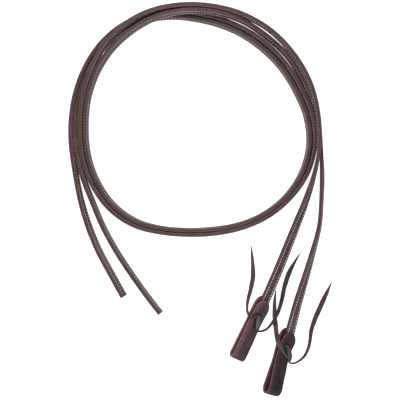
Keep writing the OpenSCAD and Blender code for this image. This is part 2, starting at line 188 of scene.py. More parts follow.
def weld(node):
    """The node's points with doubles joined, and each point's neighbours."""
    mesh = frame["nodes"][node].data
    co = np.empty(len(mesh.vertices) * 3)
    mesh.vertices.foreach_get("co", co)
    microns = np.round(co.reshape(-1, 3) * 1e6).astype(np.int64)
    points, index = np.unique(microns, axis=0, return_inverse=True)
    index = index.ravel()
    ends = np.empty(len(mesh.edges) * 2, np.int32)
    mesh.edges.foreach_get("vertices", ends)
    links = [set() for _ in points]
    for i, j in index[ends].reshape(-1, 2):
        if i != j:
            links[i].add(j)
            links[j].add(i)
    return points * 1e-6, links


def upright_end(points, near, count):
    """Indices of a strap's end section, whose points stand in one upright plane."""
    order = np.argsort(np.linalg.norm(points - near, axis=1))[: 4 * count]
    close = points[order]
    way = close.mean(0) - near
    first = close[np.argmin((close - near) @ way)]
    best = None
    for other in close:
        level = (other - first) * [1, 1, 0]
        if np.linalg.norm(level) < 0.001:
            continue
        normal = unit(np.cross(Z, level))
        on = np.nonzero(np.abs((close - first) @ normal) < 3e-5)[0]
        mean = float(((close[on] - near) @ way).mean())
        if len(on) == count and (best is None or mean < best[0]):
            best = (mean, [int(order[i]) for i in on])
    if best is None:
        raise ValueError("no end section was found")
    return best[1]


def rings(node, near, count):
    """A swept node's sections of count points, from the end at `near` onwards."""
    points, links = weld(node)
    if count == 6:
        ring = upright_end(points, near, count)
    else:
        order = np.argsort(np.linalg.norm(points - near, axis=1))
        ring = [int(i) for i in order[:count]]
    done, found = set(ring), []
    while len(ring) == count:
        found.append(points[ring])
        after = {j for i in ring for j in links[i]} - done
        done |= after
        # keep each point's place in the section
        left, ring = sorted(after), []
        if len(left) == count:
            for point in found[-1]:
                nearest = min(left, key=lambda i: np.linalg.norm(points[i] - point))
                left.remove(nearest)
                ring.append(nearest)
    return found


def strap_stations(body, near):
    """[middle, across, outward] along one run of a rein, from `near` onwards."""
    outer = rings(body + "_outer_ply", near, 6)
    inner = rings(body + "_inner_ply", near, 6)
    if min(len(outer), len(inner)) < 3:
        raise ValueError(f"{body}: too few sections were read from the frame")
    middle, across, outward = [], [], []
    for outer_ring, inner_ring in zip(outer, inner):
        outer_mean, inner_mean = outer_ring.mean(0), inner_ring.mean(0)
        middle.append((outer_mean + inner_mean) / 2)
        outward.append(unit(outer_mean - inner_mean))
        across.append(np.linalg.svd(outer_ring - outer_mean)[2][0])
    return [np.array(middle), np.array(across), np.array(outward)]


def loop_frame(which):
    """Tip, x, y and z of a water loop, from its hinge and its front leg."""
    joint = JOINTS[f"water_loop_{which}_flex"]
    at, x = np.array(joint["pos_m"]), unit(joint["axis"])
    y = unit(np.cross(Z, x))
    z = np.cross(x, y)
    leg = weld(f"water_loop_{which}_front_leg")[0]
    return at + ((leg - at) @ y).min() * y, x, y, z


LOOPS = {which: loop_frame(which) for which in (1, 2)}


def in_loop(which, points):
    """Points in mm of a water loop's frame, as points of the model."""
    tip, x, y, z = LOOPS[which]
    points = np.asarray(points, float) * MM
    return tip + points[..., 0:1] * x + points[..., 1:2] * y + points[..., 2:3] * z


def to_loop(which, points):
    """Points of the model, in mm of a water loop's frame."""
    tip, x, y, z = LOOPS[which]
    away = np.asarray(points, float) - tip
    return np.stack([away @ x, away @ y, away @ z], -1) / MM


def rein_hinges(which):
    names = ("tail_swing", "drop_swing", LOW_JOINT[which])
    return [hinge(f"rein_{which}_{name}") for name in names]


def rein_path(which):
    """One rein from its free end to its hidden end inside the water loop."""
    body = f"rein_{which}_"
    hinges = rein_hinges(which)
    tail, drop, low = hinges
    parts = [
        [v[::-1] for v in strap_stations(body + "tail", tail)],
        strap_stations(body + "coil", tail),
        strap_stations(body + "drop_upper", drop),
        strap_stations(body + "drop_lower", low),
    ]
    middle, across, outward = [np.concatenate(v) for v in zip(*parts)]
    # the hidden end, straight in the loop's own frame
    x, _, z = LOOPS[which][1:]
    last = float(to_loop(which, middle[-1])[1])
    more = [v for v in HIDDEN if v > last + 4]
    if more:
        middle = np.concatenate([middle, in_loop(which, [[0, v, 0] for v in more])])
        across = np.concatenate([across, [x] * len(more)])
        outward = np.concatenate([outward, [z] * len(more)])
    ahead = np.gradient(middle, axis=0)
    turned = dots(np.cross(ahead, outward), across) < 0
    across = np.where(turned[:, None], -across, across)
    outward = unit(outward - dots(outward, across)[:, None] * across)
    path = Path(middle, across, outward)
    for at in hinges:
        off = np.linalg.norm(path.at(path.where(at))[0] - at)
        if off > 2 * MM:
            raise ValueError(f"rein {which} misses a hinge by {off / MM:.1f} mm")
    return path


# ---- mesh helpers ------------------------------------------------------------
# A part is (points[..., 3], faces, flat[..., 3], rim, pit). flat is a point's place on
# the unrolled skin in mm, rim its share of cut edge, pit its darkening: painted shade in
# holes, hollows and thread ends, painted shadow beside a tie's bar, and the dark seam
# between plies.
def make(name, parts, material, sharp):
    """One smooth object from its parts, sharp at edges over `sharp` degrees."""
    verts, faces, flats, rims, pits = [], [], [], [], []
    start = 0
    for points, part_faces, flat, rim, pit in parts:
        grid = points.shape[:-1]
        verts.append(points.reshape(-1, 3))
        faces += [[start + i for i in face] for face in part_faces]
        flats.append(flat.reshape(-1, 3))
        rims.append(np.broadcast_to(rim, grid).ravel())
        pits.append(np.broadcast_to(pit, grid).ravel())
        start += len(verts[-1])
    mesh = bpy.data.meshes.new(name)
    mesh.from_pydata(np.concatenate(verts).tolist(), [], faces)
    for key, kind, field, data in (
        ("flat", "FLOAT_VECTOR", "vector", flats),
        ("rim", "FLOAT", "value", rims),
        ("pit", "FLOAT", "value", pits),
    ):
        attribute = mesh.attributes.new(key, kind, "POINT")
        attribute.data.foreach_set(field, np.concatenate(data).astype(np.float32).ravel())
    mesh.materials.append(material)
    mesh.polygons.foreach_set("material_index", [0] * len(mesh.polygons))
    mesh.polygons.foreach_set("use_smooth", [True] * len(mesh.polygons))
    mesh.validate()
    mesh.update()
    mesh.set_sharp_from_angle(angle=math.radians(sharp))
    ob = bpy.data.objects.new(name, mesh)
    bpy.context.scene.collection.objects.link(ob)
    return ob


def tube_faces(points):
    """Faces of a closed swept tube, points[rows, around, 3], looking outwards."""
    rows, around = points.shape[:2]
    row = np.arange(rows - 1)[:, None] * around
    here = np.arange(around)[None, :]
    after = (here + 1) % around
    corners = [row + here, row + after, row + around + after, row + around + here]
    faces = np.stack(corners, -1).reshape(-1, 4).tolist()
    faces.append(list(range(around))[::-1])
    faces.append([(rows - 1) * around + i for i in range(around)])
    fans = [(f[0], f[i], f[i + 1]) for f in faces for i in range(1, len(f) - 1)]
    centred = points.reshape(-1, 3)
    centred = centred - centred.mean(0)
    first, second, third = centred[np.array(fans).T]
    if dots(first, np.cross(second, third)).sum() < 0:
        faces = [face[::-1] for face in faces]
    return faces


def tube(points, flat, rim, pit=0.0):
    """A closed swept part from sections points[rows, around, 3]."""
    return points, tube_faces(points), flat, rim, pit


def layout(along, around, offset):
    """The flat coordinates of a grid; the offset sets pieces apart in the grain."""
    return np.stack(np.broadcast_arrays(along, around, float(offset)), -1)


def sweep(stations, across, outward):
    """Points at across and outward, in mm, from (middle, across, outward) stations."""
    middle, side, out = [v[..., None, :] for v in stations]
    return middle + side * (across * MM)[..., None] + out * (outward * MM)[..., None]


# ---- materials ---------------------------------------------------------------
def tint(colour, by):
    return [min(1, channel * by) for channel in colour]


class Nodes:
    """A new material, with short names for the shader nodes used below."""

    def __init__(self, name):
        self.mat = bpy.data.materials.new(name)
        self.mat.use_nodes = True
        self.tree = self.mat.node_tree
        self.tree.nodes.clear()
        out = self.tree.nodes.new("ShaderNodeOutputMaterial")
        self.bsdf = self.tree.nodes.new("ShaderNodeBsdfPrincipled")
        self.tree.links.new(self.bsdf.outputs[0], out.inputs[0])

    def put(self, socket, value):
        if hasattr(value, "links"):
            self.tree.links.new(value, socket)
        elif isinstance(value, (tuple, list)) and socket.type == "RGBA":
            socket.default_value = (*value[:3], 1.0)
        else:
            socket.default_value = value

    def add(self, kind, inputs=None, **settings):
        """The outputs of a new node."""
        node = self.tree.nodes.new("ShaderNode" + kind)
        for key, value in settings.items():
            setattr(node, key, value)
        for key, value in (inputs or {}).items():
            self.put(node.inputs[key], value)
        return node.outputs

    def attribute(self, name, output="Fac"):
        return self.add("Attribute", attribute_name=name)[output]

    def stretched(self, vector, stretch, shift=(0, 0)):
        inputs = {"Vector": vector, "Scale": (*stretch, 1.0), "Location": (*shift, 0)}
        return self.add("Mapping", inputs)[0]

    def noise(self, vector, stretch=None, shift=(0, 0), scale=1.0, detail=3.0, rough=0.55,
              twist=0.0, output="Fac"):
        if stretch:
            vector = self.stretched(vector, stretch, shift)
        inputs = {"Vector": vector, "Scale": scale, "Detail": detail, "Roughness": rough,
                  "Distortion": twist}
        return self.add("TexNoise", inputs)[output]

    def voronoi(self, vector, scale, feature="F1"):
        inputs = {"Vector": vector, "Scale": scale}
        return self.add("TexVoronoi", inputs, feature=feature)["Distance"]

    def ramp(self, value, between, to=(0.0, 1.0)):
        """A smooth step of value from one range to another."""
        inputs = {"Value": value, "From Min": between[0], "From Max": between[1],
                  "To Min": to[0], "To Max": to[1]}
        return self.add("MapRange", inputs, interpolation_type="SMOOTHSTEP")[0]

    def times(self, value, by):
        return self.add("Math", {0: value, 1: by}, operation="MULTIPLY")[0]

    def mix(self, share, first, second):
        """Colour from first to second."""
        return self.add("Mix", {0: share, 6: first, 7: second}, data_type="RGBA")[2]

    def blend(self, share, first, second):
        """Value from first to second."""
        return self.add("Mix", {0: share, 2: first, 3: second}, data_type="FLOAT")[0]

    def bumps(self, layers):
        """A normal from layers of (height, depth in mm, strength)."""
        normal = None
        for height, depth, strength in layers:
            inputs = {"Strength": strength, "Distance": depth * MM, "Height": height}
            if normal is not None:
                inputs["Normal"] = normal
            normal = self.add("Bump", inputs)[0]
        return normal

    def done(self, colour, rough, normal, **more):
        inputs = {"Base Color": colour, "Roughness": rough, "Normal": normal}
        inputs.update((key.replace("_", " "), value) for key, value in more.items())
        for key, value in inputs.items():
            self.put(self.bsdf.inputs[key], value)
        return self.mat


def leather(name, base, dark, light, rim, rim_dark, rough, grain):
    """Oiled leather: pebbled grain, pores, pull marks, mottling and burnished cut rims."""
    n = Nodes(name)
    flat = n.attribute("flat", output="Vector")
    edge = n.attribute("rim")
    pit = n.attribute("pit")
    # slow changes of tone, then mottling
    slow = n.noise(flat, stretch=(0.012, 0.05), rough=0.5, twist=0.4)
    cloud = n.noise(flat, stretch=(0.09, 0.16), shift=(3, 7), detail=5.0, rough=0.62, twist=0.6)
    fine = n.noise(flat, stretch=(1.0, 1.0), scale=2.6, detail=4.0, rough=0.6)
    # pebbles with creases between them, on a slightly warped layout
    warp = n.noise(flat, stretch=(0.8, 0.8), detail=2.0, rough=0.5, output="Color")
    warped = {0: n.stretched(flat, stretch=(1.15, 0.9)), 1: warp}
    bent = n.add("VectorMath", warped, operation="ADD")[0]
    cells = n.voronoi(bent, scale=grain, feature="DISTANCE_TO_EDGE")
    pebble = n.ramp(cells, between=(0.0, 0.32))
    dots_at = n.stretched(flat, stretch=(1.0, 1.0), shift=(5, 1))
    pore = n.ramp(n.voronoi(dots_at, scale=grain * 1.9), between=(0.06, 0.2))
    pull = n.noise(flat, stretch=(0.75, 0.10), shift=(11, 0), detail=4.0, rough=0.6, twist=1.2)
    drag = n.noise(flat, stretch=(0.03, 1.6), shift=(0, 5))
    colour = n.mix(n.ramp(cloud, between=(0.34, 0.68)), dark, base)
    colour = n.mix(n.times(n.ramp(slow, between=(0.46, 0.74)), by=0.5), colour, light)
    colour = n.mix(n.ramp(fine, between=(0.5, 0.8), to=(0.0, 0.28)), colour, light)
    colour = n.mix(n.ramp(pebble, between=(0.0, 0.5), to=(0.34, 0.0)), colour, dark)
    colour = n.mix(n.ramp(pull, between=(0.56, 0.74), to=(0.0, 0.3)), colour, light)
    # cut rims: long fibres, darker where they were burnished
    fibre = n.noise(flat, stretch=(0.06, 2.4), shift=(2, 9), detail=5.0, rough=0.65)
    patch = n.noise(flat, stretch=(0.05, 0.1), shift=(21, 0))
    rims = n.mix(n.ramp(fibre, between=(0.36, 0.66)), rim_dark, rim)
    rims = n.mix(n.ramp(patch, between=(0.5, 0.75), to=(0.0, 0.55)), rims, rim_dark)
    colour = n.mix(edge, colour, rims)
    # darkened by pit: painted shade and painted shadow, and the dark seam between the plies
    colour = n.mix(n.times(pit, by=0.88), colour, tint(dark, by=0.28))
    # roughness: clouded, with dull specks, drier rims and dull pits
    dull_speck, dull_pit = 0.72, 0.9
    shine = n.ramp(cloud, between=(0.3, 0.7), to=(rough - 0.07, rough + 0.09))
    speck = n.ramp(fine, between=(0.4, 0.8), to=(0.0, 0.35))
    shine = n.blend(speck, shine, dull_speck)
    shine = n.blend(edge, shine, n.ramp(fibre, between=(0.35, 0.7), to=(0.42, 0.66)))
    shine = n.blend(n.times(pit, by=0.9), shine, dull_pit)
    skin = n.add("Math", {0: 1.0, 1: edge}, operation="SUBTRACT")[0]
    # height, depth in mm, strength
    normal = n.bumps([
        (n.times(pebble, by=skin), 0.10, 0.85),
        (n.times(pore, by=skin), 0.05, 0.6),
        (n.times(pull, by=skin), 0.30, 0.55),
        (drag, 0.12, 0.4),
        (n.times(fibre, by=edge), 0.22, 0.8),
        (fine, 0.05, 0.6),
    ])
    coat = n.times(n.ramp(slow, between=(0.35, 0.65), to=(0.02, 0.10)), by=skin)
    return n.done(
        colour, shine, normal, Coat_Weight=coat, Coat_Roughness=0.4, Specular_IOR_Level=0.28
    )


def waxed_thread(name, base, dark):
    """Two-strand twisted thread, waxed and soiled, with painted shade where it goes into the
    leather.
    """
    n = Nodes(name)
    flat = n.attribute("flat", output="Vector")
    end = n.attribute("pit")
    twist = {"Vector": n.stretched(flat, stretch=(0.55, 1.1)), "Scale": 1.0, "Distortion": 0.4}
    strand = n.add("TexWave", twist, bands_direction="X")["Fac"]
    soil = n.noise(flat, stretch=(0.05, 0.3), detail=4.0, rough=0.6)
    fuzz = n.noise(flat, stretch=(3.0, 3.0), rough=0.6)
    colour = n.mix(n.ramp(strand, between=(0.1, 0.6), to=(0.55, 0.0)), base, dark)
    colour = n.mix(n.ramp(soil, between=(0.48, 0.78), to=(0.0, 0.55)), colour, dark)
    bright = tint(base, by=1.25)
    colour = n.mix(n.ramp(fuzz, between=(0.5, 0.8), to=(0.0, 0.25)), colour, bright)
    # painted shade at the ends of a stitch, where it goes into its hole
    ends = n.ramp(end, between=(0.25, 1.0), to=(0.0, 0.9))
    colour = n.mix(ends, colour, tint(dark, by=0.35))
    # height, depth in mm, strength
    normal = n.bumps([(strand, 0.12, 0.9), (fuzz, 0.04, 0.5)])
    shine = n.ramp(fuzz, between=(0.3, 0.8), to=(0.42, 0.6))
    return n.done(colour, shine, normal, Specular_IOR_Level=0.5)


def floor_material():
    n = Nodes("studio_floor")
    place = n.add("TexCoord")["Object"]
    tone = n.noise(place, scale=3.0, detail=2.0)
    colour = n.mix(tone, (0.78, 0.78, 0.78), (0.81, 0.81, 0.81))
    # the paper glows a little for the camera only, so that it lights nothing
    seen = n.add("LightPath")["Is Camera Ray"]
    return n.done(
        colour,
        rough=0.9,
        normal=n.bumps([(tone, 0.02, 0.1)]),  # height, depth in mm, strength
        Specular_IOR_Level=0.05,
        Emission_Color=(1.0, 1.0, 1.0),
        Emission_Strength=n.times(seen, by=0.8),
    )


# colours of base, dark, light, cut rim and burnished rim; then roughness and the
# scale of the pebbles
LEATHERS = {
    "rein_leather_face": (
        (0.114, 0.068, 0.071), (0.055, 0.031, 0.033), (0.212, 0.150, 0.152),
        (0.158, 0.088, 0.081), (0.056, 0.029, 0.027), 0.46, 1.5,
    ),
    # the back ply is a lighter copy of the face leather: painted light for the inner faces of the
    # coil, which catch the light
    "rein_leather_back": (
        (0.150, 0.092, 0.090), (0.070, 0.041, 0.041), (0.270, 0.190, 0.184),
        (0.148, 0.082, 0.076), (0.052, 0.027, 0.025), 0.5, 1.5,
    ),
    "water_loop_leather_1": (
        (0.080, 0.047, 0.061), (0.036, 0.017, 0.022), (0.160, 0.104, 0.116),
        (0.37, 0.185, 0.160), (0.16, 0.070, 0.062), 0.43, 1.25,
    ),
    "water_loop_leather_2": (
        (0.026, 0.016, 0.022), (0.009, 0.005, 0.007), (0.062, 0.042, 0.052),
        (0.27, 0.120, 0.118), (0.10, 0.036, 0.040), 0.43, 1.25,
    ),
    "latigo_lace": (
        (0.050, 0.027, 0.025), (0.022, 0.011, 0.010), (0.110, 0.072, 0.068),
        (0.085, 0.036, 0.031), (0.036, 0.015, 0.013), 0.44, 1.9,
    ),
    "latigo_lace_red": (
        (0.098, 0.033, 0.031), (0.042, 0.013, 0.013), (0.180, 0.090, 0.084),
        (0.120, 0.044, 0.038), (0.050, 0.017, 0.015), 0.44, 1.9,
    ),
    # a greyer copy of the lace leather, whose grey is a painted sheen
    "latigo_lace_grey_painted_sheen": (
        (0.108, 0.086, 0.089), (0.046, 0.033, 0.034), (0.205, 0.180, 0.183),
        (0.135, 0.080, 0.077), (0.060, 0.034, 0.033), 0.40, 1.9,
    ),
    # the tie's leather is a lighter grey copy of the lace: painted highlight on the puffed bar
    "latigo_lace_tie_painted_highlight": (
        (0.098, 0.074, 0.078), (0.036, 0.025, 0.027), (0.215, 0.188, 0.200),
        (0.040, 0.022, 0.022), (0.017, 0.009, 0.009), 0.38, 1.6,
    ),
}
LEATHER = {name: leather(name, *look) for name, look in LEATHERS.items()}
THREAD = waxed_thread("waxed_thread", base=(0.90, 0.80, 0.78), dark=(0.26, 0.18, 0.17))

# ---- the two-ply reins -------------------------------------------------------
# half of one ply's section in mm: across, out from the glue line, rim share
HALF_SECTION = [
    (7.66, 0.05, 1.0), (7.86, 0.26, 1.0), (7.96, 0.80, 1.0), (7.98, 1.45, 1.0),
    (7.92, 2.05, 1.0), (7.76, 2.52, 0.9), (7.48, 2.86, 0.55), (7.08, 3.07, 0.15),
    (6.72, 3.13, 0.0), (6.52, 3.08, 0.0), (6.30, 3.14, 0.0),
    # the groove of the stitch row
    (ROW + 0.72, 3.17, 0.0), (ROW + 0.45, 3.06, 0.0), (ROW, 2.93, 0.0),
    (ROW - 0.45, 3.06, 0.0), (ROW - 0.80, 3.18, 0.0),
    (3.00, 3.22, 0.0), (1.50, 3.24, 0.0), (0.00, 3.25, 0.0),
]
SECTION = np.array(
    HALF_SECTION
    + [(-across, out, rim) for across, out, rim in HALF_SECTION[-2::-1]]
    + [(-4.0, 0.05, 0.6), (0.0, 0.05, 0.6), (4.0, 0.05, 0.6)]
)
ACROSS, OUT, RIM = SECTION.T
ON_FACE = (OUT > 2.5).astype(float)
FROM_ROW = np.abs(ACROSS) - ROW
IN_ROW = bell(FROM_ROW / 0.34) * ON_FACE
SECTION_RUN = run_length(SECTION[:, :2])


def ply_stations(path, start, end):
    """Lengths of a ply's sections, two to a stitch, and each section's size."""
    shrink = {}
    if start <= 0:
        shrink = {0.0: 0.90, 0.4: 0.965, 1.0: 0.99}
    if end >= path.length - 0.01:
        shrink.update({path.length: 0.92, path.length - 0.5: 0.98})
    step = PITCH / 2
    s = np.arange(math.ceil(start / step - 1e-6), math.floor(end / step + 1e-6) + 1) * step
    inside = [round(v, 5) for v in s if start < v < end]
    s = np.array(sorted(set(inside + [start, end] + list(shrink))))
    keep = np.concatenate([[True], np.diff(s) > 0.2])
    keep[-1] = True
    s = s[keep]
    return s, np.array([shrink.get(round(float(v), 5), shrink.get(float(v), 1.0)) for v in s])


def strap_ply(name, path, start, end, side, seed, material):
    """One ply of a rein between two lengths. side 1 is the outward ply, -1 the other."""
    s, size = ply_stations(path, start, end)
    along = s[:, None]
    across = ACROSS * size[:, None]
    wobble = 0.07 * wander(s, seed) + 0.05 * wander(s * 3.1, seed + 1)
    across = across + np.sign(across) * wobble[:, None]
    height = (OUT - PLY / 2) * size[:, None] + PLY / 2
    # holes pull the leather down, and it swells a little between them
    wave = np.cos(2 * math.pi * along / PITCH)
    sewn = (along > PITCH) & (along < path.length - PITCH)
    hole = np.clip(wave, 0, 1) ** 2 * sewn
    swell = (0.5 - 0.5 * wave) * sewn
    height = height - 0.34 * hole * IN_ROW
    height = height + 0.035 * swell * bell(FROM_ROW / 1.5) * ON_FACE
    height = height + 0.03 * wander(along * 1.7, seed + 3) * ON_FACE
    points = sweep(path.at(s), across, height * side)
    rim = np.broadcast_to(RIM, across.shape).copy()
    if start <= 0:
        rim[0] = 1.0
        rim[1] = np.maximum(rim[1], 0.6)
    # the line between the plies is dark
    seam = np.clip(1 - (OUT - 0.05) / 0.3, 0, 1)
    # painted shade in the stitch holes, with the dark seam line between the plies
    pit = np.maximum(hole * IN_ROW, seam * 0.85)
    flat = layout(along, SECTION_RUN, seed * 3.7)
    return make(name, [tube(points, flat, rim, pit)], material, sharp=38)


def stitches(name, path, start, end):
    """Every stitch between two lengths on both faces, each a bowed piece of thread."""
    first = max(1, math.ceil(start / PITCH - 1e-6))
    last = min(math.floor(end / PITCH + 1e-6), int(path.length / PITCH) - 1)
    share = np.array([0.03, 0.12, 0.32, 0.5, 0.68, 0.88, 0.97])
    around = 7
    angle = np.arange(around) * 2 * math.pi / around
    count = np.arange(first, last)
    s = (count[:, None] + share) * PITCH
    stations = path.at(s)
    from_middle = np.abs(2 * share - 1)
    lift = 2.34 + 0.70 * (1 - from_middle**2.1)
    thick = 0.42 + 0.58 * np.sqrt(np.clip(1 - from_middle**4, 0, 1))
    # painted shade at both ends of a stitch, where it dives into its hole
    end_shade = np.clip(from_middle**2.6, 0, 1)[None, :, None]
    out = lift[:, None] + 0.36 * thick[:, None] * np.sin(angle)
    parts = []
    for side in (1, -1):
        for row in (1, -1):
            jog = 0.10 * np.sin(count * 2.7 + row + side) + 0.06 * np.sin(count * 1.3)
            middle = row * ROW + side * 0.62 * (share - 0.5) + jog[:, None]
            size = 1 + 0.07 * np.sin(count * 4.1 + row)[:, None, None]
            across = (THREAD_W / 2) * thick[:, None] * size * np.cos(angle)
            points = sweep(stations, middle[:, :, None] + across, out[None] * side)
            one = tube_faces(points[0])
            step = len(share) * around
            faces = [[b * step + i for i in face] for b in range(len(count)) for face in one]
            flat = layout(s[:, :, None], np.arange(around) * 0.5, row * 5.0 + side)
            parts.append((points, faces, flat, 0.0, end_shade))
    return make(name, parts, THREAD, sharp=80)


def snap(length):
    return round(length / PITCH) * PITCH


def rein(which):
    """Both plies and the sewing of one rein, in four runs."""
    path = rein_path(which)
    body = f"rein_{which}_"
    tail, drop, low = [path.where(at) for at in rein_hinges(which)]
    middle = snap((drop + low) / 2)
    reach = min(BEND, (low - drop) / 2 - 2)
    tail_end, coil_end = snap(tail + BEND), snap(drop - reach)
    upper, lower = body + "drop_upper", body + "drop_lower"
    # run, start, end, its hinge, length each side of it, the bodies on each side of it
    runs = [
        ("tail", 0.0, tail_end, tail, BEND, (body + "tail", "coil")),
        ("coil", tail_end, coil_end, None, None, None),
        ("drop_upper", coil_end, middle, drop, reach, ("coil", upper)),
        ("drop_lower", middle, path.length, low, reach, (upper, lower)),
    ]
    # ply, side, seed, material
    plies = [
        ("outer", 1, 3 * which, "rein_leather_face"),
        # the inner ply's lighter leather is painted light
        ("inner", -1, 3 * which + 1, "rein_leather_back"),
    ]
    for run, start, end, at, bend, bodies in runs:
        node = body + run
        made = []
        for ply, side, seed, kind in plies:
            name = f"{node}_{ply}_leather"
            ob = strap_ply(name, path, start, end, side, seed, LEATHER[kind])
            made.append((ob, f"{node}_{ply}_ply", kind))
        sewing = stitches(node + "_sewing", path, start, end)
        made.append((sewing, node + "_stitching", "waxed_thread"))
        for ob, cad, kind in made:
            if bodies:
                before, after = path.at([at - (bend - 2), at + (bend - 2)])[0]
                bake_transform(ob)
            else:
                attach(ob, "coil")
            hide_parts(cad)


# ---- water loops -------------------------------------------------------------
HALF_T = LOOP_T / 2
# a loop's rounded edge: inset in mm, height as a share of half the thickness, rim share
EDGE_OUTER = [(0.12, 0.62, 1.0), (0.38, 0.84, 0.8), (0.85, 0.965, 0.3), (1.5, 1.0, 0.0)]
EDGE_INNER = [(0.0, 0.2, 1.0), (0.0, -0.35, 1.0), (0.10, -0.75, 1.0), (0.4, -0.96, 0.7)]
# how a cut tip is rounded over: thickness left and least rim share, section by section
TIP_ROUND = [(0.5, 1.0), (0.7, 1.0), (0.86, 0.8), (0.95, 0.4)]


def loop_line(which):
    """Middle line as (y, z) from front tip to back tip, rows of its front half, the
    eye's middle across, and y of the eye's centre."""
    eye = to_loop(which, weld(f"water_loop_{which}_eye")[0])
    near, far = eye.min(0), eye.max(0)
    aside = float(far[0] + near[0]) / 2
    outer_radius = float(far[2] - near[2]) / 2
    centre = float(far[1]) - outer_radius
    radius = outer_radius - HALF_T
    leg = LEG_GAP + HALF_T
    # the legs run straight to where they touch the eye's arc
    open_len = centre - LEG_SPLIT
    reach = math.hypot(open_len, leg)
    touch = math.pi - math.atan2(leg, open_len) - math.acos(radius / reach)

    def arc(q):
        return np.array([centre + radius * math.cos(q), radius * math.sin(q)])

    split = np.array([LEG_SPLIT, leg])
    line = [(TIP_LEN * (1 - math.cos(q)), leg) for q in np.linspace(0.1, math.pi / 2, 26)]
    line += [(y, leg) for y in np.arange(TIP_LEN + ROW_STEP, LEG_SPLIT, ROW_STEP)]
    line += [split * (1 - q) + arc(touch) * q for q in np.linspace(0, 1, 48)[:-1]]
    line += [arc(q) for q in np.linspace(touch, 0, 30)]
    front = np.array(line)
    back = front[-2::-1] * [1, -1]
    back[:, 0] -= BACK_TIP * np.clip(1 - back[:, 0] / 24.0, 0, 1)
    return np.concatenate([front, back]), len(front), aside, centre


def loop_outward(line, is_front):
    """Directions as (y, z) from the middle line to the outer face."""
    ahead = unit(np.gradient(line, axis=0))
    out = np.stack([-ahead[:, 1], ahead[:, 0]], -1)
    facing = out[:, 1] * np.where(is_front, 1.0, -1.0) + out[:, 0] * 0.5
    return out * np.sign(facing)[:, None]


def loop_section():
    """A loop's section from its +x edge over the outer face and back.

    The columns are: part, inset in mm or share across, height in mm, rim share.
    """

    def edge(part, rows):
        return [(part, inset, share * HALF_T, rim) for inset, share, rim in rows]

    section = edge("plus", EDGE_OUTER)
    for f in np.linspace(-1, 1, 27)[1:-1]:
        section.append(("face", f, HALF_T + 0.10 * (1 - f * f), 0.0))
    section += edge("minus", EDGE_OUTER[::-1]) + edge("minus", EDGE_INNER)
    section += [("face", f, -HALF_T, 0.25) for f in np.linspace(0.86, -0.86, 9)]
    return section + edge("plus", EDGE_INNER[::-1])


def loop_grid(which, s, along, is_front, aside):
    """Across, height and rim share of a loop's skin, before the tie marks it."""
    # distance from each leg's own tip
    from_tip = np.where(is_front, along, along + BACK_TIP)
    q = np.clip(1 - from_tip / TIP_LEN, 0, 1)
    half = (LOOP_W / 2) * np.sqrt(np.clip(1 - q * q, 0.012, 1))
    # the front leg's tip sits over the strap, and the eye lies a little aside
    middle = np.where(is_front, aside * (0.35 + 0.65 * smoothstep((along - 12) / 26)), aside)
    swell = 1.2 if which == 2 else 0.5
    bulge_minus = swell * bell((along - 14) / 9) + 0.4 * smoothstep((along - 48) / 8)
    bulge_plus = 0.5 * bell((along - 12) / 8)
    extra_minus = 0.15 * wander(s, 5 + which, 70) + np.where(is_front, bulge_minus, 0.3)
    extra_plus = 0.15 * wander(s, 9 + which, 60) + np.where(is_front, bulge_plus, 0.3)
    # wandering edges fade out at the tips
    calm = np.clip(from_tip / 6, 0, 1)
    low_edge = middle - (half + extra_minus * calm)
    high_edge = middle + (half + extra_plus * calm)
    tight = np.clip(half / 7.0, 0.15, 1)
    low_face, high_face = low_edge + 1.9 * tight, high_edge - 1.9 * tight
    section = loop_section()
    across, up, rim = np.zeros((3, len(s), len(section)))
    for j, (part, inset, height, share) in enumerate(section):
        if part == "plus":
            across[:, j] = high_edge - inset * tight
        elif part == "minus":
            across[:, j] = low_edge + inset * tight
        else:
            across[:, j] = (low_face + high_face) / 2 - inset * (high_face - low_face) / 2
            if height > 0:
                # painted highlight: the +x side of the front face takes the red tan of the cut
                # rims, where light catches it
                front_highlight = smoothstep((-0.15 - inset) / 0.8) * (0.62 if which == 1 else 0.22)
                patchy = 0.75 + 0.25 * wander(s, 15 + which, 26)
                share = np.where(is_front, front_highlight * patchy, 0.0)
        up[:, j] = height
        rim[:, j] = share
    # the back leg is skived thin on its inner side, towards its tip
    thin = 2.6 * np.clip((6.0 - along) / 14.0, 0, 1) * ~is_front
    up = np.where(up < 0, up * (1 - thin / HALF_T)[:, None], up)
    for i, (left, least) in enumerate(TIP_ROUND):
        for row in (i, len(s) - 1 - i):
            mean = up[row].mean()
            up[row] = mean + (up[row] - mean) * left
            rim[row] = np.maximum(rim[row], least)
    return across, up, rim


